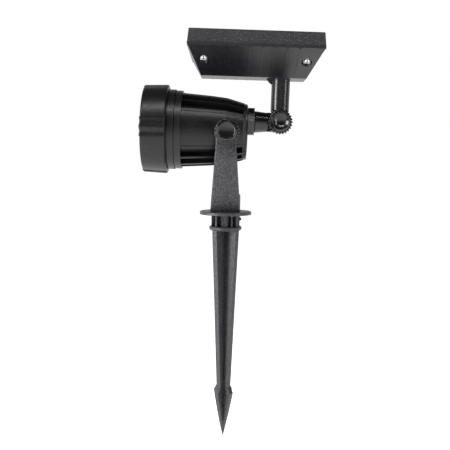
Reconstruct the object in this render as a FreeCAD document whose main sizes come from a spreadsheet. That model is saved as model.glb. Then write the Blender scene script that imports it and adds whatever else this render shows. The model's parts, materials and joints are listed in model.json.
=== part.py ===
import FreeCAD, Part
import Sketcher
import math
import os

# Solar garden light on a ground stake: a lamp head tilts in a yoke, an arm with a hinge
# carries the solar panel. Millimetres, +Z up, the lamp faces -X, and the origin is the
# centre of the underside of the stake's flange, where it rests on the ground.

DIMENSIONS = {
    # ground spike
    "flange_radius": 24.2, "flange_thick": 3.0,
    "neck_radius": 13.4, "neck_depth": 11.0, "tube_radius": 8.8, "socket_radius": 7.7,
    "socket_depth": 9.5, "rib_wide": 4.2, "rib_narrow": 1.7,
    "collar_radius": 15.3, "collar_depth": 15.0,
    "blade_top": 14.9, "blade_low": 7.0, "blade_thick": 4.4, "blade_turn": 49.0,
    "barb_start": 166.0, "barb_depth": 171.6, "barb_radius": 10.5, "tip_depth": 216.2,
    "window_half": 2.2, "window_top": 1.0, "window_low": 8.2,
    # yoke bracket
    "hub_radius": 13.7, "hub_top": 19.2, "plug_radius": 7.6, "plug_depth": 9.2, "plug_bore": 4.8,
    "tooth_reach": 15.0, "tooth_top": 2.2, "tooth_low": 7.1, "tooth_wide": 1.4, "hub_roof": 2.4,
    "arm_foot_half": 13.4, "arm_knee_half": 9.5, "arm_top_half": 8.4, "arm_bias": 0.9,
    "arm_foot_z": 3.2, "arm_foot_inner": 7.0, "arm_foot_outer": 14.6, "arm_knee_z": 51.0, "arm_bend_z": 59.0,
    "arm_inner": 34.6, "arm_outer": 39.1, "arm_crease": 0.8,
    "yoke_eye": 8.4, "eye_inset": 0.2, "screw_radius": 2.5, "screw_bore": 2.58,
    # pose of the head and axes
    "pivot_height": 74.5, "rest_tilt": 1.2, "axis_rise": 2.3, "arm_rise": 9.6, "arm_reach": 48.2,
    # lamp head, along its own axis, front at -X
    "bezel_front": 75.7, "bezel_back": 53.5, "bezel_front_radius": 38.9, "bezel_back_radius": 39.7,
    "bezel_round": 2.6, "bezel_bore": 37.0, "bezel_window": 33.0,
    "lug_rise": 0.8, "lug_half": 8.8, "lug_ahead": 0.7,
    "lens_front": 72.0, "lens_back": 69.4, "lens_radius": 36.6, "seal_bore": 33.2,
    "shell_front": 68.0, "shell_collar": 36.8, "shell_bore": 32.4,
    "groove_front": 53.2, "ring_a_front": 52.1, "ring_a_back": 46.9, "ring_a_radius": 36.4,
    "ring_b_front": 46.2, "ring_b_back": 40.6, "ring_b_radius": 35.6, "ring_gap_radius": 34.6,
    "fin_front_radius": 33.7, "fin_mid_radius": 31.9, "fin_mid": 15.0, "fin_knee_radius": 30.4,
    "fin_knee": 0.5, "fin_back_radius": 26.4, "fin_back": 14.5, "back_plate": 18.6,
    "back_radius": 25.4, "fin_thick": 2.4, "fin_count": 18, "fin_depth": 5.4, "wall": 2.4,
    "side_pad_angle": 54.0, "boss_radius": 9.0, "boss_face": 33.3, "boss_inner": 22.0,
    "insert_radius": 4.0, "insert_length": 9.0,
    "stub_radius": 8.2, "stub_end": 21.4, "stub_bore": 5.0,
    "optic_radius": 31.6, "optic_front": 66.5,
    "cup_radius": 8.2, "cup_throat": 4.0, "cup_circle": 19.0, "cup_count": 6,
    "board_radius": 31.0, "board_front": 54.0, "board_thick": 1.6, "led_size": 3.5, "led_high": 1.1,
    "sink_radius": 31.8, "sink_thick": 4.0, "sink_back_radius": 24.0, "sink_step": 9.0,
    "small_screw": 1.5, "small_head": 2.8, "small_high": 1.8, "small_long": 5.2, "board_screw_circle": 27.4,
    "ledge_front": 48.4,
    # arm, its lock nut and retaining clip
    "nut_flats": 24.0, "nut_front": 18.9, "nut_back": 24.9, "nut_lip": 23.5, "nut_bore": 8.28,
    "lip_bore": 7.09, "gasket_bore": 5.4, "gasket_thick": 0.6,
    "arm_neck_radius": 7.0, "arm_start": 22.4, "arm_shoulder": 25.25, "arm_big": 9.9, "arm_small": 8.6,
    "arm_end": 37.4, "arm_bore": 4.4, "tongue_half": 4.0, "tongue_radius": 8.6,
    "clip_front": 22.5, "clip_back": 23.1, "clip_radius": 7.95, "clip_groove": 6.4,
    # panel hinge and post, upright from the hinge axis
    "cheek_gap": 4.3, "cheek_outer": 8.4, "cheek_radius": 9.0, "post_radius": 8.45, "post_start": 9.9,
    "post_top": 39.2, "post_bore": 5.0, "post_floor": 6.0,
    "post_screw_circle": 6.75, "post_screw_radius": 1.1, "post_head_radius": 1.95, "post_head_high": 1.1,
    "post_screw_long": 8.0,
    "gusset_long": 5.2, "gusset_high": 4.2, "gusset_thick": 2.4,
    "nut_small_flats": 8.0, "nut_small_high": 3.4,
    # solar panel housing, from the hinge axis
    "panel_shift": 25.6, "panel_long": 117.2, "panel_deep": 93.0, "panel_lip": 59.4, "panel_seam": 62.0,
    "panel_top": 73.2, "panel_draft": 1.1,
    "back_long": 95.0, "back_deep": 22.0, "shell_wall": 2.2,
    "rib_pitch": 10.6, "rib_proud": 0.5, "rib_across": 1.1, "rib_total": 8,
    "pocket_radius": 4.45, "pocket_x": 44.8, "pocket_y": 30.0, "pocket_roof": 55.0,
    "border": 4.2, "frame_wall": 2.4, "laminate_thick": 3.0, "laminate_sink": 0.6, "ledge_thick": 1.6,
    "laminate_gap": 0.4, "ledge_wide": 3.6, "glass_thick": 1.2, "corner_boss": 3.4, "corner_x": 39.0,
    "corner_y": 24.0, "cell_thick": 0.2, "cell_count": 10, "cell_edge": 4.0, "cell_gap": 0.8,
    "battery_radius": 9.1, "battery_long": 65.0, "battery_z": 54.0, "battery_x": 9.5, "battery_play": 1.7,
    "battery_nub": 1.2, "holder_wall": 1.4, "holder_long": 70.0, "holder_lift": 1.5, "holder_foot_long": 50.0,
    "holder_foot_deep": 16.0,
    "control_long": 17.0, "control_deep": 28.0, "control_z": 53.0, "control_x": 35.5,
    "chip_long": 5.0, "chip_deep": 4.0, "chip_high": 1.5, "chip_y": -6.0,
    "coil_side": 5.0, "coil_high": 3.0, "coil_y": 5.0,
    "socket_long": 6.0, "socket_deep": 7.0, "socket_high": 4.0,
    "peg_radius": 1.8, "peg_x": 6.0, "peg_y": 5.5,
    "case_screw_radius": 1.5, "case_head_radius": 2.6, "case_head_high": 2.0, "case_screw_long": 12.0,
    # thumb knobs
    "knob_radius": 10.7, "knob_teeth": 24, "tooth_radius": 0.72, "knob_flange": 4.8, "knob_cap": 8.4,
    "knob_rim": 1.1, "knob_long": 9.8, "knob_dome": 0.9, "knob_chamfer": 0.7,
    "knob_gap": 0.35, "washer_thick": 1.0, "knob_screw_depth": 6.0, "tilt_screw_long": 20.0,
    "hinge_screw_long": 21.5, "screw_head": 4.0, "screw_head_high": 2.6,
}

# Vertical ribs of the neck, as angles from the -Y side towards +X; each has a twin opposite.
NECK_RIBS = {"rib_narrow": (-77.0, -41.0, 26.0), "rib_wide": (-1.0, 55.0)}

doc = FreeCAD.newDocument("solar_garden_light")
NODES = []


# ---------------------------------------------------------------- sheet and small helpers

def make_sheet():
    sheet = doc.addObject("Spreadsheet::Sheet", "dims")
    for row, (alias, size) in enumerate(DIMENSIONS.items(), start=1):
        sheet.set("A%d" % row, alias)
        sheet.set("B%d" % row, str(size))
        sheet.setAlias("B%d" % row, alias)
    doc.recompute()
    return sheet


SHEET = make_sheet()


def size(alias):
    return float(SHEET.get(alias))


def finished(thing, label, place=None):
    """Names a sub-part, places it and keeps it for export."""
    thing.Label = label
    if place is not None:
        thing.Placement = place
    NODES.append(thing)
    return thing


def shifted(x=0.0, y=0.0, z=0.0):
    return FreeCAD.Placement(FreeCAD.Vector(x, y, z), FreeCAD.Rotation())


def turned_about(axis, angle):
    return FreeCAD.Placement(FreeCAD.Vector(), FreeCAD.Rotation(FreeCAD.Vector(*axis), angle))


def pivot_frame():
    """Origin on the yoke's tilt axis, tilted as the head rests."""
    return shifted(z=size("pivot_height")) * turned_about((0, 1, 0), size("rest_tilt"))


def lamp_frame():
    return pivot_frame() * shifted(z=size("axis_rise"))


def arm_frame():
    return lamp_frame() * shifted(z=size("arm_rise"))


def hinge_frame():
    return arm_frame() * shifted(x=size("arm_reach"))


def new_body(name):
    return doc.addObject("PartDesign::Body", name)


def sketch_on(body, role, offset=None):
    sketch = body.newObject("Sketcher::SketchObject", body.Name + "_sketch")
    plane = next(f for f in body.Origin.OriginFeatures if f.Role == role)
    sketch.AttachmentSupport = [(plane, "")]
    sketch.MapMode = "FlatFace"
    if offset:
        sketch.setExpression("AttachmentOffset.Base.z", offset)
    return sketch


def outline(sketch, corners):
    """Closed outline whose corners are pairs of expressions, each pinned to the sketch's origin."""
    first = sketch.GeometryCount
    count = len(corners)
    spots = [
        FreeCAD.Vector(math.cos(2 * math.pi * k / count), math.sin(2 * math.pi * k / count), 0)
        for k in range(count)
    ]
    for k in range(count):
        sketch.addGeometry(Part.LineSegment(spots[k], spots[(k + 1) % count]), False)
    for k in range(count):
        after = first + (k + 1) % count
        sketch.addConstraint(Sketcher.Constraint("Coincident", first + k, 2, after, 1))
    for k, corner in enumerate(corners):
        for kind, text in zip(("DistanceX", "DistanceY"), corner):
            pin = sketch.addConstraint(Sketcher.Constraint(kind, -1, 1, first + k, 1, 0.5))
            sketch.setExpression("Constraints[%d]" % pin, text)


def circle(sketch, across, up, radius):
    """Circle with expressions for its centre and radius."""
    index = sketch.addGeometry(Part.Circle(FreeCAD.Vector(1, 1, 0), FreeCAD.Vector(0, 0, 1), 3), False)
    for kind, text in (("DistanceX", across), ("DistanceY", up)):
        pin = sketch.addConstraint(Sketcher.Constraint(kind, -1, 1, index, 3, 0.5))
        sketch.setExpression("Constraints[%d]" % pin, text)
    pin = sketch.addConstraint(Sketcher.Constraint("Radius", index, 3.0))
    sketch.setExpression("Constraints[%d]" % pin, radius)


def spin(body, role, axis, corners, cut=False, angle=None):
    """Revolution or Groove of an outline about an axis of its own sketch."""
    sketch = sketch_on(body, role)
    outline(sketch, corners)
    kind = "PartDesign::Groove" if cut else "PartDesign::Revolution"
    feature = body.newObject(kind, body.Name + "_turned")
    feature.Profile = sketch
    feature.ReferenceAxis = (sketch, [axis])
    if angle:
        feature.Midplane = True
        feature.setExpression("Angle", angle)
    else:
        feature.Angle = 360
    return feature


def pad(body, role, corners, length, offset=None, both=True, back=False, cut=False, rounds=()):
    """Pad or Pocket of an outline and circles; both means half to each side of the plane."""
    sketch = sketch_on(body, role, offset)
    if corners:
        outline(sketch, corners)
    for across, up, radius in rounds:
        circle(sketch, across, up, radius)
    kind = "PartDesign::Pocket" if cut else "PartDesign::Pad"
    feature = body.newObject(kind, body.Name + ("_cut" if cut else "_pad"))
    feature.Profile = sketch
    feature.Midplane = both
    feature.Reversed = back
    feature.setExpression("Length", length)
    return feature


def loft(body, role, sections):
    """Ruled loft through outlines that lie at the given offsets from one origin plane."""
    sketches = []
    for offset, corners in sections:
        sketch = sketch_on(body, role, offset)
        outline(sketch, corners)
        sketches.append(sketch)
    feature = body.newObject("PartDesign::AdditiveLoft", body.Name + "_loft")
    feature.Profile = sketches[0]
    feature.Sections = sketches[1:]
    feature.Ruled = True
    return feature


def origin_axis(body, role):
    return next(f for f in body.Origin.OriginFeatures if f.Role == role)


def ring_of(body, feature, role, count, angle=360.0):
    """PolarPattern about an origin axis, made the body's tip."""
    pattern = body.newObject("PartDesign::PolarPattern", body.Name + "_ring")
    pattern.Originals = [feature]
    pattern.Axis = (origin_axis(body, role), [""])
    pattern.Angle = angle
    pattern.setExpression("Occurrences", count)
    body.Tip = pattern
    return pattern


def mirrored(body, feature, role):
    twin = body.newObject("PartDesign::Mirrored", body.Name + "_mirror")
    twin.Originals = [feature]
    plane = next(f for f in body.Origin.OriginFeatures if f.Role == role)
    twin.MirrorPlane = (plane, [""])
    body.Tip = twin
    return twin


def box_corners(low_x, high_x, low_y, high_y):
    return [(low_x, low_y), (high_x, low_y), (high_x, high_y), (low_x, high_y)]


AXES = {
    "X": FreeCAD.Rotation(FreeCAD.Vector(0, 1, 0), 90),
    "Y": FreeCAD.Rotation(FreeCAD.Vector(1, 0, 0), -90),
    "Z": FreeCAD.Rotation(),
}


def rod(name, radius, length, axis="Z", at=(0, 0, 0), small=None):
    """Cylinder, or a cone towards `small`, from a point along an axis; sizes are expressions."""
    kind = "Part::Cone" if small else "Part::Cylinder"
    thing = doc.addObject(kind, name)
    if small:
        thing.setExpression("Radius1", radius)
        thing.setExpression("Radius2", small)
    else:
        thing.setExpression("Radius", radius)
    thing.setExpression("Height", length)
    thing.Placement = FreeCAD.Placement(FreeCAD.Vector(*at), AXES[axis])
    return thing


def hexagon(name, flats, length, axis="Z", at=(0, 0, 0), turn=0.0):
    thing = doc.addObject("Part::Prism", name)
    thing.Polygon = 6
    thing.setExpression("Circumradius", "(%s) / sqrt(3)" % flats)
    thing.setExpression("Height", length)
    thing.Placement = FreeCAD.Placement(FreeCAD.Vector(*at), AXES[axis]) * turned_about((0, 0, 1), turn)
    return thing


def block(name, length, width, height, at):
    """Box centred on a point in X and Y, standing on it in Z; sizes are expressions."""
    thing = doc.addObject("Part::Box", name)
    for side, text in (("Length", length), ("Width", width), ("Height", height)):
        thing.setExpression(side, text)
    doc.recompute()
    corner = (at[0] - thing.Length.Value / 2, at[1] - thing.Width.Value / 2, at[2])
    thing.Placement = shifted(*corner)
    return thing


def minus(name, base, *tools):
    tool = tools[0] if len(tools) == 1 else joined(name + "_tools", *tools)
    thing = doc.addObject("Part::Cut", name)
    thing.Base = base
    thing.Tool = tool
    return thing


def joined(name, *shapes):
    thing = doc.addObject("Part::MultiFuse", name)
    thing.Shapes = list(shapes)
    return thing


def group(name, shapes):
    thing = doc.addObject("Part::Compound", name)
    thing.Links = list(shapes)
    return thing


def circle_spots(radius, count, start=0.0):
    angles = [math.radians(start + 360.0 * k / count) for k in range(count)]
    return [(radius * math.cos(a), radius * math.sin(a)) for a in angles]


# ---------------------------------------------------------------- ground stake

def ground_spike():
    body = new_body("ground_spike")
    collar_low = "-dims.collar_depth"
    spin(body, "XZ_Plane", "V_Axis", [
        ("dims.socket_radius", "dims.flange_thick"), ("dims.flange_radius - 0.8", "dims.flange_thick"),
        ("dims.flange_radius", "dims.flange_thick - 0.6"), ("dims.flange_radius", "0"),
        ("dims.tube_radius", "0"), ("dims.tube_radius", "-dims.neck_depth"),
        ("dims.collar_radius - 0.9", "-dims.neck_depth"), ("dims.collar_radius", "-dims.neck_depth - 1"),
        ("dims.collar_radius", collar_low + " + 1.2"), ("dims.collar_radius - 1.2", collar_low),
        ("0", collar_low), ("0", "-dims.socket_depth"), ("dims.socket_radius", "-dims.socket_depth"),
    ])
    for width, angles in NECK_RIBS.items():
        for angle in angles:
            neck_rib_pair(body, width, angle)
    pad(body, "XZ_Plane", box_corners("0", "dims.tube_radius + 1", "-dims.window_low", "-dims.window_top"),
        "2 * dims.window_half", cut=True)
    for turn in (0.0, 90.0):
        blade(body, turn)
    trim_tip(body)
    finished(body, "ground_spike")


def neck_rib_pair(body, width, angle):
    """Two opposite upright ribs, square to the neck's axis at an angle from the -Y side."""
    sketch = body.newObject("Sketcher::SketchObject", "neck_rib_sketch")
    plane = next(f for f in body.Origin.OriginFeatures if f.Role == "XZ_Plane")
    sketch.AttachmentSupport = [(plane, "")]
    sketch.MapMode = "FlatFace"
    sketch.AttachmentOffset = FreeCAD.Placement(
        FreeCAD.Vector(), FreeCAD.Rotation(FreeCAD.Vector(0, 1, 0), angle - 90.0))
    for side in ("", "-"):
        outline(sketch, box_corners(side + "(dims.tube_radius - 0.6)", side + "dims.neck_radius",
                                    "-dims.neck_depth - 0.5", "0.5"))
    rib = body.newObject("PartDesign::Pad", "neck_rib")
    rib.Profile = sketch
    rib.Midplane = True
    rib.setExpression("Length", "dims." + width)


def blade(body, extra):
    """One flat of the cross-shaped spike, full width, with a barb near its tip."""
    sketch = body.newObject("Sketcher::SketchObject", "blade_sketch")
    plane = next(f for f in body.Origin.OriginFeatures if f.Role == "XZ_Plane")
    sketch.AttachmentSupport = [(plane, "")]
    sketch.MapMode = "FlatFace"
    sketch.AttachmentOffset = FreeCAD.Placement(
        FreeCAD.Vector(), FreeCAD.Rotation(FreeCAD.Vector(0, 1, 0), size("blade_turn") + extra))
    half = [
        ("dims.blade_top", "-dims.collar_depth + 0.5"), ("dims.blade_low", "-dims.barb_start"),
        ("dims.barb_radius", "-dims.barb_depth"), ("0.4", "-dims.tip_depth"),
    ]
    other = [("-" + x, z) for x, z in reversed(half)]
    outline(sketch, half + other)
    flat = body.newObject("PartDesign::Pad", "blade")
    flat.Profile = sketch
    flat.Midplane = True
    flat.setExpression("Length", "dims.blade_thick")


def trim_tip(body):
    """Takes the blades' square corners down to a point."""
    spin(body, "XZ_Plane", "V_Axis", [
        ("dims.barb_radius + 0.3", "-dims.barb_depth"), ("0.35", "-dims.tip_depth"),
        ("0.35", "-dims.tip_depth - 5"), ("dims.barb_radius + 9", "-dims.tip_depth - 5"),
        ("dims.barb_radius + 9", "-dims.barb_depth"),
    ], cut=True)


def yoke_bracket():
    body = new_body("yoke_bracket")
    spin(body, "XZ_Plane", "V_Axis", [
        ("dims.plug_bore", "-dims.plug_depth"), ("dims.plug_radius", "-dims.plug_depth"),
        ("dims.plug_radius", "dims.flange_thick"), ("dims.hub_radius - 0.2", "dims.flange_thick"),
        ("dims.hub_radius", "dims.flange_thick + 6"), ("dims.hub_radius", "dims.hub_top - 1.2"),
        ("dims.hub_radius - 1.2", "dims.hub_top"), ("0", "dims.hub_top"),
        ("0", "dims.hub_top - dims.hub_roof"), ("dims.plug_bore", "dims.hub_top - dims.hub_roof"),
    ])
    foot = limb_section("dims.arm_foot_half", "dims.arm_foot_inner", "dims.arm_foot_outer")
    knee = limb_section("dims.arm_knee_half", "dims.arm_inner - 2.4", "dims.arm_outer - 1.4")
    bend = limb_section("dims.arm_top_half + 0.3", "dims.arm_inner", "dims.arm_outer")
    top = limb_section("dims.arm_top_half", "dims.arm_inner", "dims.arm_outer")
    limb = loft(body, "XY_Plane", [
        ("dims.arm_foot_z", foot), ("dims.arm_knee_z", knee),
        ("dims.arm_bend_z", bend), ("dims.pivot_height", top),
    ])
    mirrored(body, limb, "XZ_Plane")
    eye = pad(body, "XZ_Plane", [], "dims.arm_outer - dims.arm_inner - 2 * dims.eye_inset",
              offset="dims.arm_inner + dims.eye_inset",
              both=False, rounds=[("0", "dims.pivot_height", "dims.yoke_eye")])
    mirrored(body, eye, "XZ_Plane")
    pad(body, "XZ_Plane", [], "3 * dims.arm_outer", cut=True,
        rounds=[("0", "dims.pivot_height", "dims.screw_bore")])
    pad(body, "XZ_Plane", [
        ("dims.plug_bore + 1", "-dims.tooth_top"), ("dims.tooth_reach - 1.6", "-dims.tooth_top"),
        ("dims.tooth_reach", "-dims.tooth_top - 2"), ("dims.tooth_reach - 0.4", "-dims.tooth_top - 3.4"),
        ("dims.tooth_reach - 4.4", "-dims.tooth_low"), ("dims.plug_bore + 1", "-dims.tooth_low"),
    ], "dims.tooth_wide")
    finished(body, "yoke_bracket")


def limb_section(half, inner, outer):
    """Level section of a yoke limb on the -Y side: flat inside, ridged outside, wider to the front."""
    front = "-(%s) - dims.arm_bias" % half
    shoulder = "-(%s) + dims.arm_crease" % outer
    return [
        (front, "-(%s)" % inner), (half, "-(%s)" % inner), (half, shoulder + " + 0.8"),
        ("(%s) - 1" % half, shoulder), ("0", "-(%s)" % outer), (front + " + 1", shoulder),
        (front, shoulder + " + 0.8"),
    ]


# ---------------------------------------------------------------- lamp head

def lamp_housing():
    body = new_body("lamp_housing")
    fin = "dims.fin_depth"
    spin(body, "XZ_Plane", "H_Axis", [
        ("-dims.shell_front", "dims.shell_bore"), ("-dims.shell_front", "dims.shell_collar"),
        ("-dims.groove_front", "dims.shell_collar"), ("-dims.groove_front", "dims.ring_gap_radius"),
        ("-dims.ring_a_front", "dims.ring_gap_radius"), ("-dims.ring_a_front", "dims.ring_a_radius"),
        ("-dims.ring_a_back", "dims.ring_a_radius"), ("-dims.ring_a_back", "dims.ring_gap_radius"),
        ("-dims.ring_b_front", "dims.ring_gap_radius"), ("-dims.ring_b_front", "dims.ring_b_radius"),
        ("-dims.ring_b_back", "dims.ring_b_radius"), ("-dims.ring_b_back", "dims.fin_front_radius - " + fin),
        ("-dims.fin_mid", "dims.fin_mid_radius - " + fin),
        ("-dims.fin_knee", "dims.fin_knee_radius - " + fin),
        ("dims.fin_back", "dims.fin_back_radius - " + fin), ("dims.fin_back", "dims.back_radius"),
        ("dims.back_plate - 0.8", "dims.back_radius"), ("dims.back_plate", "dims.back_radius - 0.8"),
        ("dims.back_plate", "0"), ("dims.back_plate - dims.wall", "0"),
        ("dims.back_plate - dims.wall", "dims.fin_back_radius - %s - dims.wall" % fin),
        ("dims.fin_back - 1", "dims.fin_back_radius - %s - dims.wall" % fin),
        ("-dims.fin_mid", "dims.fin_mid_radius - %s - dims.wall" % fin),
        ("-dims.ledge_front + dims.wall", "dims.fin_front_radius - %s - dims.wall" % fin),
        ("-dims.ledge_front + dims.wall", "dims.sink_back_radius + 0.4"),
        ("-dims.ledge_front", "dims.sink_back_radius + 0.4"), ("-dims.ledge_front", "dims.shell_bore"),
    ])
    rib = pad(body, "XZ_Plane", fin_outline(fin), "dims.fin_thick")
    ring_of(body, rib, "X_Axis", "dims.fin_count")
    side = spin(body, "XY_Plane", "H_Axis", [(x, "-(%s)" % r) for x, r in fin_outline(fin)],
                angle="dims.side_pad_angle")
    ring_of(body, side, "X_Axis", "2")
    boss = pad(body, "XZ_Plane", [], "dims.boss_face - dims.boss_inner", offset="dims.boss_inner",
               both=False, rounds=[("0", "-dims.axis_rise", "dims.boss_radius")])
    mirrored(body, boss, "XZ_Plane")
    pad(body, "XZ_Plane", [], "3 * dims.boss_face", cut=True,
        rounds=[("0", "-dims.axis_rise", "dims.insert_radius")])
    pad(body, "YZ_Plane", [], "dims.stub_end - dims.back_plate + 1", offset="dims.back_plate - 1",
        both=False, rounds=[("0", "dims.arm_rise", "dims.stub_radius")])
    pad(body, "YZ_Plane", [], "dims.wall + dims.stub_end - dims.back_plate + 2",
        offset="dims.back_plate - dims.wall - 1", both=False, back=True, cut=True,
        rounds=[("0", "dims.arm_rise", "dims.stub_bore")])
    finished(body, "lamp_housing", lamp_frame())


def fin_outline(fin):
    """Outline of a cooling fin from just inside the skin to its outer edge."""
    inner = " - %s - 0.6" % fin
    return [
        ("-dims.ring_b_back - 0.5", "dims.fin_front_radius" + inner),
        ("-dims.ring_b_back - 0.5", "dims.fin_front_radius"), ("-dims.fin_mid", "dims.fin_mid_radius"),
        ("-dims.fin_knee", "dims.fin_knee_radius"), ("dims.fin_back", "dims.fin_back_radius"),
        ("dims.back_plate - 1", "dims.back_radius - 0.4"),
        ("dims.back_plate - 1", "dims.fin_back_radius" + inner),
        ("-dims.fin_knee", "dims.fin_knee_radius" + inner), ("-dims.fin_mid", "dims.fin_mid_radius" + inner),
    ]


def bezel_ring():
    body = new_body("bezel_ring")
    spin(body, "XZ_Plane", "H_Axis", [
        ("-dims.bezel_front", "dims.bezel_window + 2.4"),
        ("-dims.bezel_front", "dims.bezel_front_radius - dims.bezel_round"),
        ("-dims.bezel_front + dims.bezel_round * 0.3", "dims.bezel_front_radius - dims.bezel_round * 0.3"),
        ("-dims.bezel_front + dims.bezel_round", "dims.bezel_front_radius"),
        ("-dims.bezel_back - 0.8", "dims.bezel_back_radius"),
        ("-dims.bezel_back", "dims.bezel_back_radius - 0.8"),
        ("-dims.bezel_back", "dims.bezel_bore"), ("-dims.lens_front", "dims.bezel_bore"),
        ("-dims.lens_front", "dims.bezel_window"), ("-dims.lens_front - 1", "dims.bezel_window"),
    ])
    side, crown = "dims.bezel_back_radius - 1.2", "dims.bezel_back_radius - 0.1"
    start = "dims.bezel_front + dims.lug_ahead"
    lug = pad(body, "YZ_Plane", [
        ("-dims.lug_half", "dims.bezel_bore + 0.4"), ("-dims.lug_half", side),
        ("-dims.lug_half + 1.4", crown), ("0", "dims.bezel_back_radius + dims.lug_rise"),
        ("dims.lug_half - 1.4", crown), ("dims.lug_half", side), ("dims.lug_half", "dims.bezel_bore + 0.4"),
    ], start + " - dims.bezel_back - 0.9", offset="-(%s)" % start, both=False)
    ring_of(body, lug, "X_Axis", "4")
    finished(body, "bezel_ring", lamp_frame())


def lamp_optics():
    front, back = (-size("lens_front"), 0, 0), (-size("lens_back"), 0, 0)
    lens = rod("lens_disc", "dims.lens_radius", "dims.lens_front - dims.lens_back", "X", front)
    finished(group("lens_group", [lens]), "front_lens", lamp_frame())
    outer = rod("seal_outer", "dims.lens_radius", "dims.lens_back - dims.shell_front", "X", back)
    inner = rod("seal_inner", "dims.seal_bore", "dims.lens_back", "X", back)
    finished(minus("seal", outer, inner), "lens_seal", lamp_frame())
    optic = rod("optic_blank", "dims.optic_radius", "dims.optic_front - dims.board_front", "X",
                (-size("optic_front"), 0, 0))
    cups = [
        rod("optic_cup", "dims.cup_radius", "dims.optic_front - dims.board_front", "X",
            (-size("optic_front"), y, z), small="dims.cup_throat")
        for y, z in [(0.0, 0.0)] + circle_spots(size("cup_circle"), int(size("cup_count")))
    ]
    rests = [
        rod("optic_rest", "dims.small_head + 0.3", "dims.small_high + 0.3", "X",
            (-size("board_front") - size("small_high") - 0.3, y, z))
        for y, z in circle_spots(size("board_screw_circle"), 3, 30.0)
    ]
    finished(minus("optic", optic, *cups, *rests), "reflector_cups", lamp_frame())


def led_module():
    board = rod("board_disc", "dims.board_radius", "dims.board_thick", "X", (-size("board_front"), 0, 0))
    spots = circle_spots(size("board_screw_circle"), 3, 30.0)
    front = -size("board_front")
    back = front + size("board_thick")
    holes = [
        rod("board_hole", "dims.small_screw + 0.1", "dims.board_thick", "X", (front, y, z)) for y, z in spots
    ]
    finished(minus("board", board, *holes), "led_board", lamp_frame())
    chips = []
    for y, z in [(0.0, 0.0)] + circle_spots(size("cup_circle"), int(size("cup_count"))):
        chip = block("led_chip", "dims.led_high", "dims.led_size", "dims.led_size",
                     (-size("board_front") - size("led_high") / 2, y, z - size("led_size") / 2))
        chips.append(chip)
    finished(group("leds", chips), "led_chips", lamp_frame())
    plate = rod("sink_plate", "dims.sink_radius", "dims.sink_thick", "X", (back, 0, 0))
    core = rod("sink_core", "dims.sink_back_radius", "dims.sink_thick + dims.sink_step", "X", (back, 0, 0))
    taps = [rod("sink_tap", "dims.small_screw + 0.05", "dims.sink_thick + dims.sink_step", "X", (back, y, z))
            for y, z in spots]
    finished(minus("sink", joined("sink_body", plate, core), *taps), "heat_spreader", lamp_frame())
    screws = [pan_screw("board_screw", (-size("board_front"), y, z)) for y, z in spots]
    finished(group("board_screw_set", screws), "board_screws", lamp_frame())


def pan_screw(name, at):
    """Small round-headed screw along X, its head's underside at the given point."""
    x, y, z = at
    head = rod(name + "_head", "dims.small_head", "dims.small_high", "X", (x - size("small_high"), y, z))
    shank = rod(name + "_shank", "dims.small_screw", "dims.small_long", "X", (x, y, z))
    return joined(name, head, shank)


def pivot_inserts():
    inserts = []
    for low in (-size("boss_face"), size("boss_face") - size("insert_length")):
        start = (0, low, -size("axis_rise"))
        sleeve = rod("insert_sleeve", "dims.insert_radius", "dims.insert_length", "Y", start)
        bore = rod("insert_bore", "dims.screw_bore", "dims.insert_length", "Y", start)
        inserts.append(minus("insert", sleeve, bore))
    finished(group("insert_pair", inserts), "pivot_inserts", lamp_frame())


def tilt_washers():
    washers = []
    for low in (-size("boss_face") - size("washer_thick"), size("boss_face")):
        start = (0, low, -size("axis_rise"))
        disc = rod("washer_disc", "dims.boss_radius - 0.6", "dims.washer_thick", "Y", start)
        bore = rod("washer_bore", "dims.screw_bore + 0.3", "dims.washer_thick", "Y", start)
        washers.append(minus("washer", disc, bore))
    finished(group("washer_pair", washers), "friction_washers", lamp_frame())


# ---------------------------------------------------------------- knobs

def knob(label, place):
    """Knurled thumb knob, base at the origin, pointing to -Y."""
    body = new_body(label)
    top = "dims.knob_long"
    spin(body, "YZ_Plane", "H_Axis", [
        ("0", "dims.screw_radius + 0.02"), ("0", "dims.knob_radius - dims.knob_chamfer"),
        ("-dims.knob_chamfer", "dims.knob_radius"),
        ("-dims.knob_flange + dims.knob_chamfer", "dims.knob_radius"),
        ("-dims.knob_flange", "dims.knob_radius - dims.knob_chamfer"),
        ("-dims.knob_flange", "dims.knob_cap + 0.4"),
        ("-dims.knob_flange - 0.6", "dims.knob_cap"), ("-%s + 0.7" % top, "dims.knob_cap"),
        ("-" + top, "dims.knob_cap - 0.6"), ("-" + top, "dims.knob_cap - dims.knob_rim"),
        ("-%s + dims.knob_dome" % top, "dims.knob_cap - dims.knob_rim - 0.5"),
        ("-%s + dims.knob_dome * 0.4" % top, "dims.knob_cap * 0.45"),
        ("-%s + dims.knob_dome * 0.2" % top, "0"), ("-dims.knob_screw_depth", "0"),
        ("-dims.knob_screw_depth", "dims.screw_head"),
        ("-dims.knob_screw_depth + dims.screw_head_high", "dims.screw_head"),
        ("-dims.knob_screw_depth + dims.screw_head_high", "dims.screw_radius + 0.02"),
    ])
    tooth = pad(body, "XZ_Plane", [], "dims.knob_flange - 2 * dims.knob_chamfer", offset="dims.knob_chamfer",
                both=False, rounds=[("0", "dims.knob_radius", "dims.tooth_radius")])
    ring_of(body, tooth, "Y_Axis", "dims.knob_teeth")
    finished(body, label, place)


def knob_screw(label, length, place):
    """Screw moulded into a knob, running from the knob to +Y."""
    depth = size("knob_screw_depth")
    head = rod(label + "_head", "dims.screw_head", "dims.screw_head_high", "Y", (0, -depth, 0))
    shank = rod(label + "_shank", "dims.screw_radius", "dims.%s + dims.knob_screw_depth" % length, "Y",
                (0, -depth, 0))
    finished(joined(label + "_solid", head, shank), label, place)


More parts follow.
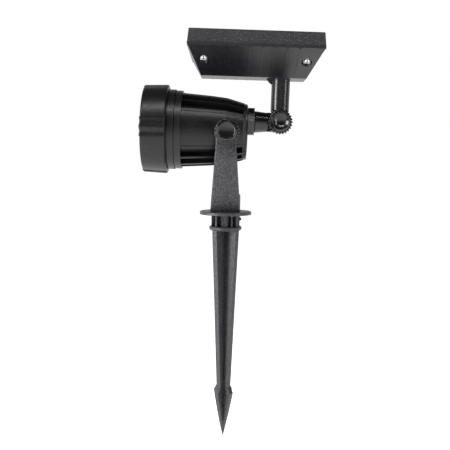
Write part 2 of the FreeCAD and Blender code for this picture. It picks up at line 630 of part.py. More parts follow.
def knobs():
    reach = size("arm_outer") + size("knob_gap")
    near = pivot_frame() * shifted(y=-reach)
    far = pivot_frame() * turned_about((0, 0, 1), 180.0) * shifted(y=-reach)
    hinge = hinge_frame() * shifted(y=-size("cheek_outer") - size("knob_gap"))
    for label, screw, length, place in (
        ("tilt_knob_near", "tilt_screw_near", "tilt_screw_long", near),
        ("tilt_knob_far", "tilt_screw_far", "tilt_screw_long", far),
        ("panel_knob", "panel_screw", "hinge_screw_long", hinge),
    ):
        knob(label, place)
        knob_screw(screw, length, place)


# ---------------------------------------------------------------- arm

def arm_parts():
    front = size("nut_front")
    blank = hexagon("nut_blank", "dims.nut_flats", "dims.nut_back - dims.nut_front", "X", (front, 0, 0), 30.0)
    thread = rod("nut_thread", "dims.nut_bore", "dims.nut_lip - dims.nut_front", "X", (front, 0, 0))
    lip = rod("nut_lip_bore", "dims.lip_bore", "dims.nut_back - dims.nut_front", "X", (front, 0, 0))
    finished(minus("nut", blank, thread, lip), "arm_lock_nut", arm_frame())

    end = size("stub_end")
    disc = rod("gasket_disc", "dims.clip_radius", "dims.gasket_thick", "X", (end, 0, 0))
    hole = rod("gasket_hole", "dims.gasket_bore", "dims.gasket_thick", "X", (end, 0, 0))
    finished(minus("gasket", disc, hole), "arm_gasket", arm_frame())

    start = (size("clip_front"), 0, 0)
    clip = rod("clip_disc", "dims.clip_radius", "dims.clip_back - dims.clip_front", "X", start)
    bore = rod("clip_bore", "dims.clip_groove", "dims.clip_back - dims.clip_front", "X", start)
    finished(minus("clip", clip, bore), "arm_retaining_clip", arm_frame())
    panel_arm()


def panel_arm():
    body = new_body("panel_arm")
    spin(body, "XZ_Plane", "H_Axis", [
        ("dims.arm_start", "dims.arm_bore"), ("dims.arm_start", "dims.clip_groove"),
        ("dims.clip_back", "dims.clip_groove"), ("dims.clip_back", "dims.arm_neck_radius"),
        ("dims.arm_shoulder", "dims.arm_neck_radius"), ("dims.arm_shoulder", "dims.arm_big - 0.5"),
        ("dims.arm_shoulder + 0.5", "dims.arm_big"), ("dims.arm_end", "dims.arm_small"),
        ("dims.arm_end", "0"), ("dims.arm_end - 2", "0"), ("dims.arm_end - 2", "dims.arm_bore"),
    ])
    tongue = box_corners("dims.arm_end - 1", "dims.arm_reach", "-dims.tongue_radius", "dims.tongue_radius")
    pad(body, "XZ_Plane", tongue, "2 * dims.tongue_half")
    pad(body, "XZ_Plane", [], "2 * dims.tongue_half", rounds=[("dims.arm_reach", "0", "dims.tongue_radius")])
    pad(body, "XZ_Plane", [], "3 * dims.tongue_half", cut=True,
        rounds=[("dims.arm_reach", "0", "dims.screw_bore")])
    finished(body, "panel_arm", arm_frame())


# ---------------------------------------------------------------- solar panel unit

def panel_post():
    body = new_body("panel_post")
    bottom = "dims.post_start + dims.post_floor"
    spin(body, "XZ_Plane", "V_Axis", [
        ("0", "dims.post_start"), ("dims.post_radius", "dims.post_start"),
        ("dims.post_radius", "dims.post_top"),
        ("dims.post_bore", "dims.post_top"), ("dims.post_bore", bottom), ("0", bottom),
    ])
    for low, high in (("-dims.cheek_outer", "-dims.cheek_gap"), ("dims.cheek_gap", "dims.cheek_outer")):
        pad(body, "YZ_Plane", box_corners(low, high, "0", "dims.post_start + 1"),
            "2 * sqrt(dims.post_radius ^ 2 - dims.cheek_gap ^ 2)")
    cheek = pad(body, "XZ_Plane", [], "dims.cheek_outer - dims.cheek_gap", offset="dims.cheek_gap",
                both=False, rounds=[("0", "0", "dims.cheek_radius")])
    mirrored(body, cheek, "XZ_Plane")
    pad(body, "XZ_Plane", [], "3 * dims.cheek_outer", cut=True, rounds=[("0", "0", "dims.screw_bore")])
    pad(body, "XZ_Plane", [
        ("-dims.post_radius + 1", "dims.post_top"), ("-dims.post_radius - dims.gusset_long", "dims.post_top"),
        ("-dims.post_radius - dims.gusset_long * 0.45", "dims.post_top - dims.gusset_high * 0.75"),
        ("-dims.post_radius", "dims.post_top - dims.gusset_high - 0.8"),
        ("-dims.post_radius + 1", "dims.post_top - dims.gusset_high - 0.8"),
    ], "dims.gusset_thick")
    pilots = [(side + "dims.post_screw_circle", "0", "dims.post_screw_radius + 0.05") for side in ("", "-")]
    pad(body, "XY_Plane", [], "dims.post_screw_long + dims.shell_wall", offset="dims.post_top",
        both=False, cut=True, rounds=pilots)
    finished(body, "panel_post", hinge_frame())


def post_screws():
    screws = []
    for x in (-size("post_screw_circle"), size("post_screw_circle")):
        top = size("post_top") + size("shell_wall")
        head = rod("post_head", "dims.post_head_radius", "dims.post_head_high", "Z", (x, 0, top))
        shank = rod("post_shank", "dims.post_screw_radius", "dims.post_screw_long", "Z",
                    (x, 0, top - size("post_screw_long")))
        screws.append(joined("post_screw", head, shank))
    finished(group("post_screw_set", screws), "post_screws", hinge_frame())


def hinge_nut():
    blank = hexagon("hinge_nut_blank", "dims.nut_small_flats", "dims.nut_small_high", "Y",
                    (0, size("cheek_outer"), 0))
    bore = rod("hinge_nut_bore", "dims.screw_bore", "dims.nut_small_high", "Y", (0, size("cheek_outer"), 0))
    finished(minus("hinge_nut_solid", blank, bore), "hinge_nut", hinge_frame())


def rectangle(long_side, deep_side):
    """Corners of a rectangle centred on the panel in plan."""
    x = "-dims.panel_shift"
    return box_corners("%s - (%s) / 2" % (x, long_side), "%s + (%s) / 2" % (x, long_side),
                       "-(%s) / 2" % deep_side, "(%s) / 2" % deep_side)


def hip_roof(name, inset, low, top):
    """Ruled solid from the back's flat up to the rim, drawn in by `inset` on every side."""
    body = new_body(name)
    flat = rectangle("dims.back_long - 2 * (%s)" % inset, "dims.back_deep - 2 * (%s)" % inset)
    rim = rectangle("dims.panel_long - 1.2 - 2 * (%s)" % inset, "dims.panel_deep - 1.2 - 2 * (%s)" % inset)
    loft(body, "XY_Plane", [(low, flat), (top, rim)])
    return body


def panel_back_shell():
    outer = hip_roof("back_outer", "0", "dims.post_top", "dims.panel_lip")
    lip = new_body("back_lip")
    pad(lip, "XY_Plane", rectangle("dims.panel_long", "dims.panel_deep"), "dims.panel_seam - dims.panel_lip",
        offset="dims.panel_lip", both=False)
    inner = hip_roof("back_inner", "dims.shell_wall",
                     "dims.post_top + dims.shell_wall", "dims.panel_lip + 0.6")
    hollow = new_body("back_hollow")
    pad(hollow, "XY_Plane", rectangle("dims.panel_long - 1.2 - 2 * dims.shell_wall",
                                      "dims.panel_deep - 1.2 - 2 * dims.shell_wall"),
        "dims.panel_seam - dims.panel_lip + 1", offset="dims.panel_lip + 0.5", both=False)
    skin = minus("back_skin", joined("back_solid", outer, lip), inner, hollow)
    pillars = doc.addObject("Part::MultiCommon", "back_pillars")
    pillars.Shapes = [joined("pillar_set", *pocket_walls()), joined("back_mass", outer, lip)]
    walls = joined("back_walls", skin, pillars, *board_pegs(), *back_ribs())
    bare = minus("back_bored", walls, *back_holes())
    finished(bare, "panel_back_shell", hinge_frame())


def pocket_spots():
    """Plan positions of the four screw pockets."""
    centre = -size("panel_shift")
    sides = (-1, 1)
    return [(centre + i * size("pocket_x"), j * size("pocket_y")) for i in sides for j in sides]


def pocket_walls():
    start, rise = size("post_top") + 1, "dims.pocket_roof + 1 - dims.post_top"
    return [
        rod("pocket_wall", "dims.pocket_radius + 1.6", rise, "Z", (x, y, start)) for x, y in pocket_spots()
    ]


def board_pegs():
    """Four pegs that carry the control board above the shell's floor."""
    centre = size("control_x") - size("panel_shift")
    floor = size("post_top") + size("shell_wall") - 0.5
    rise = "dims.control_z - dims.post_top - dims.shell_wall + 0.5"
    return [
        rod("board_peg", "dims.peg_radius", rise, "Z", (centre + x, y, floor))
        for x in (-size("peg_x"), size("peg_x")) for y in (-size("peg_y"), size("peg_y"))
    ]


def back_holes():
    """Screw pockets from below, and the holes over the post for its screws and the lead."""
    below, through = size("post_top") - 1, "dims.shell_wall + 2"
    rise = "dims.pocket_roof - dims.post_top + 1"
    holes = [rod("post_hole", "dims.post_bore", through, "Z", (0, 0, below))]
    for x, y in pocket_spots():
        holes.append(rod("pocket", "dims.pocket_radius", rise, "Z", (x, y, below)))
        holes.append(rod("pocket_hole", "dims.case_screw_radius + 0.1", "dims.case_screw_long", "Z",
                         (x, y, size("pocket_roof") - 1)))
    for x in (-size("post_screw_circle"), size("post_screw_circle")):
        holes.append(rod("post_screw_hole", "dims.post_screw_radius + 0.1", through, "Z", (x, 0, below)))
    return holes


def back_ribs():
    """Raised ribs that run down both long slopes."""
    rise = size("panel_lip") - size("post_top")
    run = (size("panel_deep") - 1.2 - size("back_deep")) / 2
    slope = math.degrees(math.atan2(rise, run))
    length = math.hypot(rise, run)
    ribs = []
    for side in (-1, 1):
        for k in range(int(size("rib_total"))):
            x = -size("panel_shift") + (k - (size("rib_total") - 1) / 2) * size("rib_pitch")
            rib = doc.addObject("Part::Box", "back_rib")
            rib.setExpression("Length", "dims.rib_across")
            rib.setExpression("Width", "%f" % (length - 1.6))
            rib.setExpression("Height", "dims.rib_proud + 1")
            foot = FreeCAD.Vector(x - size("rib_across") / 2, side * size("back_deep") / 2, size("post_top"))
            lean = FreeCAD.Rotation(FreeCAD.Vector(1, 0, 0), slope)
            mirror = FreeCAD.Rotation(FreeCAD.Vector(0, 0, 1), 0 if side > 0 else 180)
            start = FreeCAD.Vector(0 if side > 0 else -size("rib_across"), 0.8, -size("rib_proud"))
            rib.Placement = FreeCAD.Placement(foot, mirror) * FreeCAD.Placement(FreeCAD.Vector(), lean)
            rib.Placement = rib.Placement * FreeCAD.Placement(start, FreeCAD.Rotation())
            ribs.append(rib)
    return ribs


def panel_frame():
    body = new_body("panel_frame")
    long_top, deep_top = "dims.panel_long - 2 * dims.panel_draft", "dims.panel_deep - 2 * dims.panel_draft"
    loft(body, "XY_Plane", [
        ("dims.panel_seam", rectangle("dims.panel_long - 0.3", "dims.panel_deep - 0.3")),
        ("dims.panel_top - 0.7", rectangle(long_top, deep_top)),
        ("dims.panel_top", rectangle(long_top + " - 1.4", deep_top + " - 1.4")),
    ])
    floor = "dims.panel_top - dims.laminate_thick - dims.laminate_sink"
    below = "dims.panel_seam - 5"
    well = "dims.panel_long - 2 * dims.border", "dims.panel_deep - 2 * dims.border"
    window = [side + " - 2 * dims.ledge_wide" for side in well]
    room = "dims.panel_long - 2 * dims.frame_wall - 0.3", "dims.panel_deep - 2 * dims.frame_wall - 0.3"
    pad(body, "XY_Plane", rectangle(*well), "dims.laminate_thick + dims.laminate_sink + 5", offset=floor,
        both=False, back=True, cut=True)
    pad(body, "XY_Plane", rectangle(*window), "dims.panel_top - dims.panel_seam + 5", offset=below,
        both=False, back=True, cut=True)
    pad(body, "XY_Plane", rectangle(*room), floor + " - dims.ledge_thick - (%s)" % below, offset=below,
        both=False, back=True, cut=True)
    frame_corners(body, floor)
    finished(body, "panel_frame", hinge_frame())


def frame_corners(body, floor):
    """Webs across the frame's corners and the bosses that take the case screws."""
    signs = [(x_side, y_side) for x_side in ("", "-") for y_side in ("", "-")]
    for x_side, y_side in signs:
        centre = "-dims.panel_shift + %s" % x_side
        pad(body, "XY_Plane", box_corners(
            centre + "dims.corner_x", centre + "(dims.panel_long / 2 - dims.frame_wall)",
            y_side + "dims.corner_y", y_side + "(dims.panel_deep / 2 - dims.frame_wall)",
        ), "dims.ledge_thick", offset="%s - dims.ledge_thick" % floor, both=False)
    spots = [("-dims.panel_shift + %sdims.pocket_x" % i, j + "dims.pocket_y") for i, j in signs]
    pad(body, "XY_Plane", [], "%s - dims.ledge_thick / 2 - dims.pocket_roof - 2.3" % floor,
        offset="dims.pocket_roof + 2.3", both=False, rounds=[(x, y, "dims.corner_boss") for x, y in spots])
    pad(body, "XY_Plane", [], "dims.case_screw_long", offset="dims.pocket_roof + 0.8", both=False, back=True,
        cut=True, rounds=[(x, y, "dims.case_screw_radius + 0.05") for x, y in spots])


def solar_sheet():
    centre = -size("panel_shift")
    floor = size("panel_top") - size("laminate_thick") - size("laminate_sink")
    inset = "2 * (dims.border + dims.laminate_gap)"
    long_side, deep_side = "dims.panel_long - " + inset, "dims.panel_deep - " + inset
    cell_floor = floor + size("laminate_thick") - size("glass_thick")
    plate = block("laminate_plate", long_side, deep_side, "dims.laminate_thick - dims.glass_thick",
                  (centre, 0, floor))
    finished(group("laminate_group", [plate]), "solar_backsheet", hinge_frame())
    glass = block("glass_plate", long_side, deep_side, "dims.glass_thick - dims.cell_thick",
                  (centre, 0, cell_floor + size("cell_thick")))
    finished(group("glass_group", [glass]), "solar_glass", hinge_frame())
    usable = size("panel_long") - 2 * (size("border") + size("laminate_gap") + size("cell_edge"))
    pitch = usable / size("cell_count")
    width = "%f - dims.cell_gap" % pitch
    cells = []
    for k in range(int(size("cell_count"))):
        x = centre - usable / 2 + pitch * (k + 0.5)
        cells.append(block("cell", width, deep_side + " - 2 * dims.cell_edge", "dims.cell_thick",
                           (x, 0, cell_floor)))
    finished(group("cell_group", cells), "solar_cells", hinge_frame())


def power_parts():
    centre = -size("panel_shift")
    x, z = centre - size("battery_x"), size("battery_z")
    start = x - size("battery_long") / 2
    cell = rod("battery_can", "dims.battery_radius", "dims.battery_long", "X", (start, 0, z))
    nub = rod("battery_nub", "dims.battery_radius / 3", "dims.battery_nub + 1", "X",
              (start - size("battery_nub"), 0, z))
    finished(joined("battery", cell, nub), "battery_cell", hinge_frame())

    floor = size("post_top") + size("shell_wall")
    lift = floor + size("holder_lift")
    cradle = block("holder_block", "dims.holder_long", "2 * (dims.battery_radius + dims.holder_wall)",
                   "dims.battery_z - dims.post_top - dims.shell_wall - dims.holder_lift", (x, 0, lift))
    foot = block("holder_foot", "dims.holder_foot_long", "dims.holder_foot_deep", "dims.holder_lift + 0.5",
                 (x - size("battery_x"), 0, floor))
    bay = rod("holder_bay", "dims.battery_radius + 0.1", "dims.battery_long + 2 * dims.battery_play", "X",
              (start - size("battery_play"), 0, z))
    finished(minus("holder", joined("holder_body", cradle, foot), bay), "battery_holder", hinge_frame())
    control_board(centre + size("control_x"), size("control_z"))


def control_board(x, z):
    deck = block("control_deck", "dims.control_long", "dims.control_deep", "dims.board_thick", (x, 0, z))
    finished(group("control_group", [deck]), "control_board", hinge_frame())
    top = z + size("board_thick")
    chips = [
        block("control_chip", "dims.chip_long", "dims.chip_deep", "dims.chip_high", (x, size("chip_y"), top)),
        block("control_coil", "dims.coil_side", "dims.coil_side", "dims.coil_high", (x, size("coil_y"), top)),
        block("control_socket", "dims.socket_long", "dims.socket_deep", "dims.socket_high",
              (x, 0, z - size("socket_high"))),
    ]
    finished(group("control_chips", chips), "control_components", hinge_frame())


def case_screws():
    screws = []
    top = size("pocket_roof")
    for x, y in pocket_spots():
        head = rod("case_head", "dims.case_head_radius", "dims.case_head_high", "Z",
                   (x, y, top - size("case_head_high")))
        shank = rod("case_shank", "dims.case_screw_radius", "dims.case_screw_long", "Z", (x, y, top))
        screws.append(joined("case_screw", head, shank))
    finished(group("case_screw_set", screws), "case_screws", hinge_frame())


# ---------------------------------------------------------------- build, check and export

def check_and_export():
    doc.recompute()
    for thing in doc.Objects:
        if "Invalid" in thing.State or "Error" in thing.State:
            raise RuntimeError("%s did not recompute: %s" % (thing.Label, thing.State))
    os.makedirs("parts", exist_ok=True)
    for node in NODES:
        shape = node.Shape
        if shape.isNull() or not shape.isValid() or not shape.Solids:
            raise RuntimeError("%s has no valid solid" % node.Label)
        box = shape.BoundBox
        spans = (box.XMin, box.XMax, box.YMin, box.YMax, box.ZMin, box.ZMax)
        print("%-20s %2d solid %10.1f mm3" % (node.Label, len(shape.Solids), shape.Volume),
              " x %.1f %.1f y %.1f %.1f z %.1f %.1f" % spans)
        shape.exportStep("parts/%s.step" % node.Label)


def build():
    ground_spike()
    yoke_bracket()
    lamp_housing()
    bezel_ring()
    lamp_optics()
    led_module()
    pivot_inserts()
    tilt_washers()
    knobs()
    arm_parts()
    panel_post()
    post_screws()
    hinge_nut()
    panel_back_shell()
    panel_frame()
    solar_sheet()
    power_parts()
    case_screws()
    check_and_export()


build()
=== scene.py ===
import bmesh
import bpy
import json
import math
from mathutils import Matrix, Vector


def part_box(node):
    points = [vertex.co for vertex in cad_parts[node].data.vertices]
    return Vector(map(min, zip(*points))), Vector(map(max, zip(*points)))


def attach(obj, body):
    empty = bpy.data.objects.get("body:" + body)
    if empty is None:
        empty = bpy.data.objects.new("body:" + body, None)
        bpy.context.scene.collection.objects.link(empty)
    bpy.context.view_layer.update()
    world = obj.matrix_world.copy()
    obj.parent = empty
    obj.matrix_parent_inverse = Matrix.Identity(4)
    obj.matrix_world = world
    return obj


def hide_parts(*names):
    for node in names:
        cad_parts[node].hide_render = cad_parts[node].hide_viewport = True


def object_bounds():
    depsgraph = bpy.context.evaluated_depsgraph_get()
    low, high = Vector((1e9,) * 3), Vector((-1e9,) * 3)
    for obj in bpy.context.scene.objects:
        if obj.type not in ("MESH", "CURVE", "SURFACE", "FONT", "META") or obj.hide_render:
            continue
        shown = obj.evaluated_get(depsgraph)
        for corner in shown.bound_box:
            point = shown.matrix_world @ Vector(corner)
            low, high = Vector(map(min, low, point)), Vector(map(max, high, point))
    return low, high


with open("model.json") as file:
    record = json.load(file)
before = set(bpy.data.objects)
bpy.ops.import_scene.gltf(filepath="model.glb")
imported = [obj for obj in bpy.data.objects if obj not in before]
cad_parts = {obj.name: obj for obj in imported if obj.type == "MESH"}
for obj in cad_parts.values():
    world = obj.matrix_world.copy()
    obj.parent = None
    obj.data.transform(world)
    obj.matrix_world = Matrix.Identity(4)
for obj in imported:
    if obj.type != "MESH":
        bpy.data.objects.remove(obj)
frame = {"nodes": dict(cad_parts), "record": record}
CAD_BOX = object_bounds()
MM = 0.001  # the lengths named below are in millimetres

LAMP_RISE = 2.3  # the lamp's axis above its pivot
PLASTIC_EDGE, METAL_EDGE = 0.45, 0.2  # widths of the rounded edges on the CAD nodes
EDGE_STEPS, EDGE_ANGLE = 2, 28.0
SMOOTH_ANGLE = 35.0  # a sharper corner than this, in degrees, keeps its crease
MERGE_GAP = 0.002

PANEL_MIDDLE = -25.6  # the panel's centre from its hinge, along the arm
CELLS_HALF, CELLS_TOP = 50.0, 71.6
CELL_COUNT, CELL_GAP = 10, 0.8
BUSBAR_SHARES, BUSBAR_HALF, BUSBAR_THICK = (0.28, 0.72), 0.35, 0.03
FINGER_GAPS, FINGER_HALF, FINGER_THICK = 30, 0.07, 0.02
SCREW_X, SCREW_Y, SCREW_Z = 44.8, 30.0, 55.0  # the screw heads' seats, from the panel's centre and hinge

KNOB_TEETH, TOOTH_SWELL = 24, 1.25
BOWL_RADIUS, BOWL_RIM = 6.9, 9.5
SHALLOW_BOWL, DEEP_BOWL = 1.6, 3.0
LUG_HALF, LUG_RIM, LUG_SWELL = 12.8, 0.8, 0.8  # degrees, degrees, millimetres

FRAME_WIDTH, FOCAL = 450.0, 600.0  # the lens, as a share of the picture's width
PITCH, ROLL = 5.805, 0.75
EYE_PLACE = (-0.4, -562.0, 46.83)

# ---------------------------------------------------------------- places, from the record and the frame

JOINTS = {joint["name"]: joint for joint in frame["record"]["behaviour"]["joints"]}
PIVOT = Vector(JOINTS["head_tilt"]["pos_m"])
ARM_LINE = Vector(JOINTS["arm_turn"]["axis"])
HINGE = Vector(JOINTS["panel_tilt"]["pos_m"])
TILT = Matrix.Rotation(math.atan2(-ARM_LINE.z, ARM_LINE.x), 4, "Y")
HEAD = Matrix.Translation(PIVOT) @ TILT
LAMP = HEAD @ Matrix.Translation((0, 0, LAMP_RISE * MM))
PANEL = Matrix.Translation(HINGE) @ TILT


# ---------------------------------------------------------------- materials

MIX_A, MIX_B, MIX_RESULT = 6, 7, 2  # the colour sockets of a Mix node
TURNING_GRAIN, GLASS_GRAIN, BLOTCH_GRAIN = 1400.0, 300.0, 45.0


def node(tree, kind, inputs=None, **settings):
    """Adds a shader node; inputs maps a socket to a value or to another node's output."""
    made = tree.nodes.new(kind)
    for key, value in settings.items():
        setattr(made, key, value)
    for key, value in (inputs or {}).items():
        if isinstance(value, bpy.types.NodeSocket):
            tree.links.new(value, made.inputs[key])
        else:
            made.inputs[key].default_value = value
    return made


def ramp(tree, factor, stops):
    """Adds a colour ramp; each stop is (position, colour)."""
    made = node(tree, "ShaderNodeValToRGB", {"Fac": factor})
    elements = made.color_ramp.elements
    while len(elements) < len(stops):
        elements.new(0.5)
    for element, (position, shade) in zip(elements, stops):
        element.position = position
        element.color = (*shade, 1)
    return made


def shades(colour, factor):
    return tuple(min(1.0, channel * factor) for channel in colour)


def new_material(name):
    """A material with a bare Principled shader on its output."""
    material = bpy.data.materials.new(name)
    material.use_nodes = True
    tree = material.node_tree
    tree.nodes.clear()
    shader = node(tree, "ShaderNodeBsdfPrincipled")
    node(tree, "ShaderNodeOutputMaterial", {"Surface": shader.outputs[0]})
    return material, tree, shader


def moulded(name, colour, roughness=0.5, grain=800.0, depth=0.25, mottle=0.1, specular=0.5):
    """Injection-moulded plastic: mottled grain in colour and bump, soft blotches, and sharp edges painted
    lighter as wear and as a painted highlight.
    """
    material, tree, shader = new_material(name)
    place = node(tree, "ShaderNodeTexCoord").outputs["Object"]
    fine = node(tree, "ShaderNodeTexNoise",
                {"Vector": place, "Scale": grain, "Detail": 1.0, "Roughness": 0.5})
    broad = node(tree, "ShaderNodeTexNoise",
                 {"Vector": place, "Scale": BLOTCH_GRAIN, "Detail": 4.0, "Roughness": 0.55})
    edge = node(tree, "ShaderNodeNewGeometry").outputs["Pointiness"]
    # mask of sharp convex edges, where a lighter colour is painted: wear, and also a painted highlight along
    # the edges
    edge_wear_and_highlight = ramp(tree, edge, [(0.5, (0, 0, 0)), (0.6, (1, 1, 1))])
    dark, light = shades(colour, max(0.15, 1.0 - 0.75 * mottle)), shades(colour, 1.0 + 2.6 * mottle)
    flecks = ramp(tree, fine.outputs["Fac"], [(0.36, dark), (0.5, colour), (0.64, light)])
    blotches = ramp(tree, broad.outputs["Fac"], [(0.3, (0.8, 0.8, 0.8)), (0.7, (1, 1, 1))])
    base = node(tree, "ShaderNodeMix", {"Factor": 1.0}, data_type="RGBA", blend_type="MULTIPLY")
    tree.links.new(flecks.outputs["Color"], base.inputs[MIX_A])
    tree.links.new(blotches.outputs["Color"], base.inputs[MIX_B])
    scuffed_and_lit = node(tree, "ShaderNodeMix", {"Factor": edge_wear_and_highlight.outputs["Color"]}, data_type="RGBA")
    tree.links.new(base.outputs[MIX_RESULT], scuffed_and_lit.inputs[MIX_A])
    # painted edge highlight and wear colour: 2.2 times the base colour on the sharp edges
    scuffed_and_lit.inputs[MIX_B].default_value = (*shades(colour, 2.2), 1)
    tree.links.new(scuffed_and_lit.outputs[MIX_RESULT], shader.inputs["Base Color"])
    sheen = node(tree, "ShaderNodeMapRange", {"Value": broad.outputs["Fac"], "To Min": roughness - 0.06,
                                              "To Max": roughness + 0.06})
    tree.links.new(sheen.outputs["Result"], shader.inputs["Roughness"])
    bump = node(tree, "ShaderNodeBump",
                {"Height": fine.outputs["Fac"], "Strength": depth, "Distance": 0.6 * MM})
    tree.links.new(bump.outputs["Normal"], shader.inputs["Normal"])
    shader.inputs["Specular IOR Level"].default_value = specular
    return material


def metal(name, colour, roughness):
    """Bare metal with a fine uneven surface."""
    material, tree, shader = new_material(name)
    place = node(tree, "ShaderNodeTexCoord").outputs["Object"]
    turned = node(tree, "ShaderNodeTexNoise", {"Vector": place, "Scale": TURNING_GRAIN, "Detail": 2.0})
    tint = ramp(tree, turned.outputs["Fac"], [(0.3, shades(colour, 0.88)), (0.7, colour)])
    tree.links.new(tint.outputs["Color"], shader.inputs["Base Color"])
    rough = node(tree, "ShaderNodeMapRange", {"Value": turned.outputs["Fac"], "To Min": roughness - 0.08,
                                              "To Max": roughness + 0.08})
    tree.links.new(rough.outputs["Result"], shader.inputs["Roughness"])
    bump = node(tree, "ShaderNodeBump",
                {"Height": turned.outputs["Fac"], "Strength": 0.1, "Distance": 0.2 * MM})
    tree.links.new(bump.outputs["Normal"], shader.inputs["Normal"])
    shader.inputs["Metallic"].default_value = 1.0
    return material


def clear(name, tint, roughness):
    """Clear plate, faintly uneven in its gloss."""
    material, tree, shader = new_material(name)
    place = node(tree, "ShaderNodeTexCoord").outputs["Object"]
    ripple = node(tree, "ShaderNodeTexNoise", {"Vector": place, "Scale": GLASS_GRAIN, "Detail": 2.0})
    rough = node(tree, "ShaderNodeMapRange", {"Value": ripple.outputs["Fac"], "To Min": roughness,
                                              "To Max": roughness + 0.05})
    tree.links.new(rough.outputs["Result"], shader.inputs["Roughness"])
    shader.inputs["Base Color"].default_value = (*tint, 1)
    shader.inputs["Transmission Weight"].default_value = 1.0
    shader.inputs["IOR"].default_value = 1.45
    return material


CHARCOAL = (0.0125, 0.012, 0.0145)
INK = (0.0035, 0.0034, 0.004)
MATERIALS = {
    "spike_plastic": moulded("spike_plastic", CHARCOAL, 0.42, 800.0, 0.8, 1.2),
    "yoke_plastic": moulded("yoke_plastic", CHARCOAL, 0.42, 900.0, 1.0, 1.4),
    "lamp_plastic": moulded("lamp_plastic", INK, 0.34, 900.0, 0.16, 0.5, 0.35),
    "bezel_plastic": moulded("bezel_plastic", INK, 0.34, 900.0, 0.12, 0.4, 0.35),
    "knob_plastic": moulded("knob_plastic", INK, 0.2, 800.0, 0.03, 0.1),
    "nut_plastic": moulded("nut_plastic", INK, 0.26, 800.0, 0.05, 0.1),
    "arm_plastic": moulded("arm_plastic", INK, 0.2, 800.0, 0.04, 0.1),
    "post_plastic": moulded("post_plastic", (0.007, 0.0068, 0.008), 0.24, 800.0, 0.05, 0.5),
    "panel_plastic": moulded("panel_plastic", (0.0075, 0.0072, 0.0085), 0.38, 900.0, 0.7, 1.0),
    "panel_back_satin": moulded("panel_back_satin", (0.006, 0.0058, 0.007), 0.33, 900.0, 0.08, 0.3),
    "holder_plastic": moulded("holder_plastic", (0.05, 0.05, 0.05), 0.5),
    "component_plastic": moulded("component_plastic", (0.03, 0.03, 0.03), 0.4),
    "board_laminate": moulded("board_laminate", (0.02, 0.13, 0.06), 0.35, 500.0, 0.05, 0.15),
    "led_phosphor": moulded("led_phosphor", (0.9, 0.72, 0.16), 0.4, 2000.0, 0.05),
    "silicon_cell": moulded("silicon_cell", (0.008, 0.012, 0.045), 0.2, 250.0, 0.03),
    "backsheet_film": moulded("backsheet_film", (0.02, 0.022, 0.03), 0.45),
    "washer_rubber": moulded("washer_rubber", (0.02, 0.02, 0.02), 0.7, 600.0, 0.2),
    "seal_rubber": moulded("seal_rubber", (0.05, 0.05, 0.05), 0.7, 600.0, 0.2),
    "screw_steel": metal("screw_steel", (0.66, 0.66, 0.67), 0.28),
    "busbar_silver": metal("busbar_silver", (0.72, 0.73, 0.75), 0.35),
    "bright_zinc": metal("bright_zinc", (0.8, 0.8, 0.82), 0.4),
    "insert_brass": metal("insert_brass", (0.78, 0.6, 0.28), 0.3),
    "spreader_aluminium": metal("spreader_aluminium", (0.75, 0.76, 0.78), 0.35),
    "plated_reflector": metal("plated_reflector", (0.9, 0.9, 0.92), 0.14),
    "battery_can": metal("battery_can", (0.2, 0.42, 0.62), 0.4),
    "clear_lens": clear("clear_lens", (0.97, 0.985, 0.99), 0.02),
    "panel_glass": clear("panel_glass", (0.93, 0.95, 0.98), 0.06),
}
# Looks that share another material's slot, and the one CAD node whose look isn't its slot's own.
SATIN_NODES = {"panel_back_shell": "panel_back_satin"}
SLOT_OF = {entry["node"]: entry["material_slot"] for entry in frame["record"]["subparts"]}


def dress_cad_nodes():
    """Gives every CAD node its slot's material and rounded edges."""
    for name, thing in frame["nodes"].items():
        thing.data.materials.clear()
        thing.data.materials.append(MATERIALS[SATIN_NODES.get(name, SLOT_OF[name])])
        bevel = thing.modifiers.new("round_edges", "BEVEL")
        bevel.width = (PLASTIC_EDGE if SLOT_OF[name].endswith("plastic") else METAL_EDGE) * MM
        bevel.segments = EDGE_STEPS
        bevel.limit_method = "ANGLE"
        bevel.angle_limit = math.radians(EDGE_ANGLE)


# ---------------------------------------------------------------- pieces

def add_piece(name, mesh, slot, body, stands_for=()):
    """Puts a finished mesh, already in the row frame, into the scene on its body."""
    thing = bpy.data.objects.new(name, mesh)
    bpy.context.scene.collection.objects.link(thing)
    mesh.materials.append(MATERIALS[slot])
    for polygon in mesh.polygons:
        polygon.use_smooth = True
    mesh.set_sharp_from_angle(angle=math.radians(SMOOTH_ANGLE))
    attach(thing, body)
    if stands_for:
        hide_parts(*stands_for)
    return thing


def plain(points):
    """A profile of (along, radius) points that no swell moves."""
    return [(along, radius, 0.0, 0.0) for along, radius in points]


def rounded(profile, radius, steps=4):
    """Rounds every corner between the ends of a profile of (along, radius, weight, ahead) points."""
    smooth = [profile[0]]
    for before, corner, after in zip(profile, profile[1:], profile[2:]):
        here = Vector(corner[:2])
        back, ahead = Vector(before[:2]) - here, Vector(after[:2]) - here
        cut = min(radius, 0.45 * back.length, 0.45 * ahead.length)
        first, last = here + back.normalized() * cut, here + ahead.normalized() * cut
        for step in range(steps + 1):
            share = step / steps
            spot = first.lerp(here, share).lerp(here.lerp(last, share), share)
            smooth.append((spot.x, spot.y, *corner[2:]))
    smooth.append(profile[-1])
    return smooth


